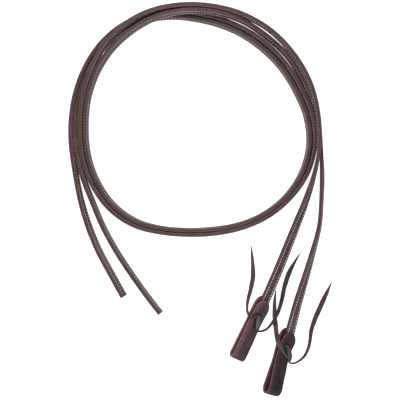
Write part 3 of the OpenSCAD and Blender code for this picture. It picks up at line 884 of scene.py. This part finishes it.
def tie_marks(which, across, along, up, outer, is_front):
    """Hollows at the lace holes and a bed under the bar: the new height, and the painted shade and
    shadow.
    """
    tie = TIES[which]
    pit = np.zeros(up.shape)
    # hole, shift across, depth, half-width, half-length of its hollow
    hollows = ((tie["hole_a"], -1.9, 2.2, 5.8, 2.5), (tie["hole_b"], 0.0, 1.4, 3.0, 2.8))
    for hole, shift, deep, wide, long in hollows:
        away = np.hypot((across - hole[0] - shift) / wide, (along - hole[1]) / long)
        dip = bell(away)
        up = up - outer * deep * dip
        # painted shade in each hollow
        pit = np.maximum(pit, outer * smoothstep((dip - 0.22) / 0.38))
    start, end = np.array(tie["bar"])
    bar = end - start
    x, y = across - start[0], along - start[1]
    share = np.clip((x * bar[0] + y * bar[1]) / (bar @ bar), -0.1, 1.1)
    aside = (x * bar[1] - y * bar[0]) / np.linalg.norm(bar)
    off = np.abs(aside)
    bed = bell(off / 5.4) * smoothstep((share + 0.1) * 3) * smoothstep((1.1 - share) * 3)
    up = up - outer * 0.45 * bed * is_front
    # painted shadow of the bar in the crease on one side of it, and painted shade in the bed under
    # it
    crease = bell((off - 5.3) / 1.5) * (bed > 0.02) * smoothstep((bed + 0.1) * 3)
    bar_shadow = np.clip(0.3 * bed + 0.75 * crease * (aside > 0), 0, 1)
    return up, np.maximum(pit, outer * bar_shadow * is_front)


def water_loop(which):
    """A punched strap folded round the eye, in one piece from tip to tip."""
    line, front_rows, aside, centre = loop_line(which)
    rows = len(line)
    is_front = np.arange(rows) < front_rows
    # ease the kink where the legs start to open
    soft = line.copy()
    for _ in range(8):
        soft[1:-1] = soft[1:-1] * 0.5 + (soft[:-2] + soft[2:]) * 0.25
    eased = smoothstep((line[:, 0] - 30) / 12)[:, None]
    line = line * (1 - eased) + soft * eased
    out = loop_outward(line, is_front)
    s = run_length(line)
    along = line[:, 0].copy()
    # the front tip stands up a little
    flare = np.where(is_front, 2.6 * np.clip(1 - along / 20.0, 0, 1) ** 2, 0.0)
    sag = np.where(is_front, -0.35, 0.2) * bell((along - 45) / 13)
    line[:, 1] += flare + sag
    across, up, rim = loop_grid(which, s, along, is_front, aside)
    along = along[:, None]
    outer = (up > 0.5 * HALF_T).astype(float)
    up, pit = tie_marks(which, across, along, up, outer, is_front[:, None])
    up += outer * 0.14 * wander(along * 1.6 + across * 0.9, 4 + which, 60)
    # wrinkles across the inside of the fold
    inner = (1 - outer) * (up < -0.5 * HALF_T)
    ripple = np.sin(s[:, None] * 2.2 + across * 0.25)
    up += inner * 0.12 * bell((along - centre - 2) / 9) * ripple
    yz = line[:, None, :] + out[:, None, :] * up[..., None]
    points = in_loop(which, np.concatenate([across[..., None], yz], -1))
    run = run_length(np.stack([across[rows // 4], up[rows // 4]], -1))
    flat = layout(s[:, None], run, 40.0 + 9 * which)
    kind = f"water_loop_leather_{which}"
    loop = f"water_loop_{which}_"
    ob = make(loop + "leather", [tube(points, flat, rim, pit)], LEATHER[kind], sharp=50)
    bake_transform(ob)
    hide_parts(loop + "front_leg", loop + "back_leg", loop + "eye")


# ---- laces -------------------------------------------------------------------
# a lace's section: share of half-width, share of half-thickness, rim share
LACE_SECTION = np.array([
    (-0.97, 0.35, 1), (-0.86, 0.82, 0.5), (-0.6, 1.0, 0), (-0.2, 1.04, 0), (0.2, 1.04, 0),
    (0.6, 1.0, 0), (0.86, 0.82, 0.5), (0.97, 0.35, 1), (1.0, -0.2, 1), (0.9, -0.8, 0.8),
    (0.55, -1.0, 0.3), (0, -1.0, 0.3), (-0.55, -1.0, 0.3), (-0.9, -0.8, 0.8), (-1.0, -0.2, 1),
])


def ribbon(middle, half_width, normal, seed, thick, cup=0.12, step=1.2):
    """A flat lace along stations with half-width vectors, normals and half-thicknesses."""
    knots = run_length(middle)
    at = np.linspace(0, knots[-1], max(8, int(knots[-1] / (step * MM))))
    fine = hermite(knots, np.hstack([middle, unit(half_width), normal]), at)
    wide = np.interp(at, knots, np.linalg.norm(half_width, axis=1)) / MM
    thin = np.interp(at, knots, thick)[:, None]
    middle, across, normal = fine[:, :3], unit(fine[:, 3:6]), fine[:, 6:9]
    ahead = unit(np.gradient(middle, axis=0))
    across = unit(across - dots(across, ahead)[:, None] * ahead)
    square = np.cross(ahead, across)
    normal = unit(square * np.sign(dots(square, normal))[:, None])
    s = at / MM
    wide = (wide * (1 + 0.05 * wander(s, seed, 30)))[:, None]
    side, height, rim = LACE_SECTION.T
    up = thin * height - cup * side**2 * wide * 0.5 + 0.07 * wander(s * 2, seed + 1, 40)[:, None]
    points = sweep((middle, across, normal), wide * side, up)
    for end, size in ((0, 0.75), (-1, 0.45)):
        mean = points[end].mean(0)
        points[end] = mean + (points[end] - mean) * size
    return tube(points, layout(s[:, None], np.arange(len(side)), seed * 5.0), rim)


def lace_stations(node, near):
    """Middles, half-width vectors and normals of a lace node from `near` onwards."""
    found = rings(node, near, 4)
    first = found[0]
    # order the first section round its middle, long sides along the width
    centre = first.mean(0)
    ahead = unit(found[1].mean(0) - centre)
    side = unit(first[0] - centre)
    up = np.cross(ahead, side)
    turn = np.argsort([math.atan2((v - centre) @ up, (v - centre) @ side) for v in first])
    round_first = first[turn]
    one, two = np.linalg.norm(np.diff(round_first[:3], axis=0), axis=1)
    if one < two:
        turn = np.roll(turn, -1)
    middle, half_width, normal = [], [], []
    for ring in found:
        corners = ring[turn]
        middle.append(corners.mean(0))
        half_width.append(((corners[1] - corners[0]) + (corners[2] - corners[3])) / 4)
        normal.append(unit((corners[3] - corners[0]) + (corners[2] - corners[1])))
    return np.array(middle), np.array(half_width), np.array(normal)


def lead_in(which, first, across):
    """Three stations that bring a lace out of its hole to its first station."""
    _, x, y, z = LOOPS[which]
    local = to_loop(which, first)
    holes = [np.array(TIES[which][name]) for name in ("hole_a", "hole_b")]
    hole = min(holes, key=lambda at: np.hypot(*(at - local[:2])))
    go = local[:2] - hole
    middle = in_loop(which, [
        [*hole, 3.2],
        [*(hole + go * 0.06), 6.3],
        [*(hole + go * 0.5), 0.45 * 7.3 + 0.55 * local[2]],
    ])
    go = unit(go)
    way = x * go[0] + y * go[1]
    normal = np.array([way, unit(way * 0.6 + z), z])
    half_width = [
        unit(across - (across @ n) * n) * wide * MM for n, wide in zip(normal, (1.5, 1.9, 2.2))
    ]
    return middle, np.array(half_width), normal


def lace_tail(which, side, seed):
    """One long end of a lace, from inside its hole to its point."""
    name = f"lace_{which}_{side}_tail"
    lead = f"lace_{which}_{side}_lead"
    nodes = [name]
    if lead in frame["nodes"]:
        nodes.append(lead)
        joint = hinge(f"lace_{which}_{side}_swing")
        before = [v[::-1] for v in lace_stations(lead, joint)]
        after = list(lace_stations(name, joint))
        if (before[1][-1] @ after[1][0]) < 0:
            after[1] = -after[1]
        middle, half_width, normal = [np.concatenate(v) for v in zip(before, after)]
    else:
        joint = hinge(f"lace_{which}_{side}_lift")
        middle, half_width, normal = lace_stations(name, joint)
    # keep the normals on one side
    for i in range(1, len(normal)):
        if normal[i] @ normal[i - 1] < 0:
            normal[i] = -normal[i]
    if normal[0] @ LOOPS[which][3] < 0:
        normal = -normal
    inner = lead_in(which, middle[0], unit(half_width[0]))
    stations = zip(inner, (middle, half_width, normal))
    middle, half_width, normal = [np.concatenate(v) for v in stations]
    count = len(middle)
    places = [0, 3, count - 10, count - 1]
    thick = np.interp(np.arange(count), places, [0.85, 0.95, 0.9, 0.35])
    # lace 2's left tail takes the grey copy, a painted sheen
    looks = {(2, "left"): "latigo_lace_grey_painted_sheen", (1, "right"): "latigo_lace"}
    material = LEATHER[looks.get((which, side), "latigo_lace_red")]
    part = ribbon(middle, half_width, normal, seed, thick)
    ob = make(name + "_leather", [part], material, sharp=60)
    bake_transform(ob)
    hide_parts(*nodes)


def tie_front(which):
    """The puffed bar: out of hole a, along the bar and down under its far end."""
    hole = np.array(TIES[which]["hole_a"])
    start, end = np.array(TIES[which]["bar"])
    bar = end - start
    go = unit(bar)
    points = [[*hole, 2.0], [*(hole * 0.75 + start * 0.25), 5.4]]
    wide = [1.7, 2.4]
    for q in np.linspace(-0.06, 1.06, 19):
        hump = max(0.0, math.sin(math.pi * min(max((q + 0.1) / 1.2, 0), 1)))
        points.append([*(start + bar * q), LEG_FACE + 0.2 + 2.5 * hump**0.6])
        taper = 0.9 * max(q, 0)
        wide.append((3.5 - taper) + (1.2 + taper) * hump**0.55)
    points += [[*(end + go * 2.2), LEG_FACE - 0.5], [*(end + go * 2.0), LEG_FACE - 2.6]]
    wide += [2.6, 2.0]
    points = np.array(points)
    side = np.tile([go[1], -go[0], 0.0], (len(points), 1))
    normal = unit(np.cross(side, unit(np.gradient(points, axis=0))))
    # steep normals look back along the bar, level ones outward, the last one ahead
    wrong = (normal @ np.array([-go[0], -go[1], 0.02]) < 0) & (np.abs(normal[:, 2]) < 0.3)
    normal = normal * np.where(wrong, -1, 1)[:, None]
    normal[normal[:, 2] < -0.3] *= -1
    if normal[-1, :2] @ go < 0:
        normal[-1] = -normal[-1]
    count = len(points)
    places = [0, 3, count // 2, count - 3, count - 1]
    thick = np.interp(np.arange(count), places, [0.8, 1.1, 1.35, 1.1, 0.8])
    basis = np.stack(LOOPS[which][1:])
    half_width = (side @ basis) * np.array(wide)[:, None] * MM
    return ribbon(
        in_loop(which, points), half_width, normal @ basis, 60 + which, thick, cup=0.42, step=0.6
    )


def tie_back(which):
    """The flat span behind, from hole a to hole b."""
    hole_a, hole_b = [np.array(TIES[which][name]) for name in ("hole_a", "hole_b")]
    span = hole_b - hole_a
    go = unit(span)
    points = [[*hole_a, -2.0], [*hole_a, -5.6]]
    for q in np.linspace(0, 1, 9):
        bow = 0.25 + 0.75 * math.sin(math.pi * q) ** 0.5
        points.append([*(hole_a + span * (0.03 + 0.94 * q)), -LEG_FACE - 0.3 - 0.95 * bow])
    points += [[*hole_b, -5.6], [*hole_b, -2.0]]
    count = len(points)
    side = np.tile([go[1], -go[0], 0.0], (count, 1))
    normal = np.tile([0.0, 0.0, -1.0], (count, 1))
    normal[:2] = [-go[0], -go[1], -0.1]
    normal[-2:] = [go[0], go[1], -0.1]
    basis = np.stack(LOOPS[which][1:])
    return ribbon(
        in_loop(which, points), (side @ basis) * 1.9 * MM, unit(normal) @ basis, 70 + which,
        np.full(count, 0.85), cup=0.1, step=0.8,
    )


def knot(which):
    parts = [tie_front(which), tie_back(which)]
    # the tie's lighter lace leather is a painted highlight on the puffed bar
    ob = make(f"lace_{which}_tie", parts, LEATHER["latigo_lace_tie_painted_highlight"], sharp=60)
    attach(ob, f"rein_{which}_drop_lower")
    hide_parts(f"lace_{which}_knot")


for which in (1, 2):
    rein(which)
for which in (1, 2):
    water_loop(which)
    knot(which)
    lace_tail(which, "left", seed=20 + which)
    lace_tail(which, "right", seed=30 + which)

# ---- floor, light and camera, in metres --------------------------------------
FLOOR_HALF = 30.0
FLOOR_DROP = 0.0003  # the floor lies this far under the reins
CAMERA_FAR = 10.0
CAMERA_SHIFT = (-0.0003, -0.0010, 0.008)
VIEW_FILL = 0.986  # share of the view that the reins' length along Y takes up

low, high = [Vector(c) for c in CAD_BOX]
middle = (low + high) / 2


def add_floor():
    mesh = bpy.data.meshes.new("floor")
    corners = [(x * FLOOR_HALF, y * FLOOR_HALF, 0) for x, y in ((-1, -1), (1, -1), (1, 1), (-1, 1))]
    mesh.from_pydata(corners, [], [(0, 1, 2, 3)])
    mesh.materials.append(floor_material())
    floor = bpy.data.objects.new("floor", mesh)
    floor.location.z = low.z - FLOOR_DROP
    bpy.context.scene.collection.objects.link(floor)


def area(name, at, size, power):
    """A round area light that looks at the middle of the reins."""
    light = bpy.data.lights.new(name, "AREA")
    light.shape, light.size, light.energy = "DISK", size, power
    ob = bpy.data.objects.new(name, light)
    ob.location = at
    ob.rotation_mode = "QUATERNION"
    ob.rotation_quaternion = (middle - Vector(at)).to_track_quat("-Z", "Y")
    bpy.context.scene.collection.objects.link(ob)


def add_world(strength):
    world = bpy.data.worlds.new("studio")
    bpy.context.scene.world = world
    world.use_nodes = True
    background = world.node_tree.nodes["Background"]
    background.inputs[0].default_value = (1, 1, 1, 1)
    background.inputs[1].default_value = strength


def add_camera():
    """A camera straight above, looking down."""
    camera = bpy.data.cameras.new("camera")
    camera.sensor_width = 36.0
    camera.lens = camera.sensor_width * CAMERA_FAR / ((high.y - low.y) / VIEW_FILL)
    camera.clip_start, camera.clip_end = 0.1, 60
    ob = bpy.data.objects.new("camera", camera)
    ob.location = Vector((middle.x, middle.y, CAMERA_FAR)) + Vector(CAMERA_SHIFT)
    bpy.context.scene.collection.objects.link(ob)
    bpy.context.scene.camera = ob


add_floor()
area("key", at=(-0.35, 1.6, 1.9), size=1.2, power=36)
area("fill", at=(0.25, -1.6, 1.8), size=1.5, power=27)
add_world(strength=0.38)
add_camera()
bpy.context.scene.view_settings.view_transform = "Standard"
bpy.context.scene.view_settings.look = "None"
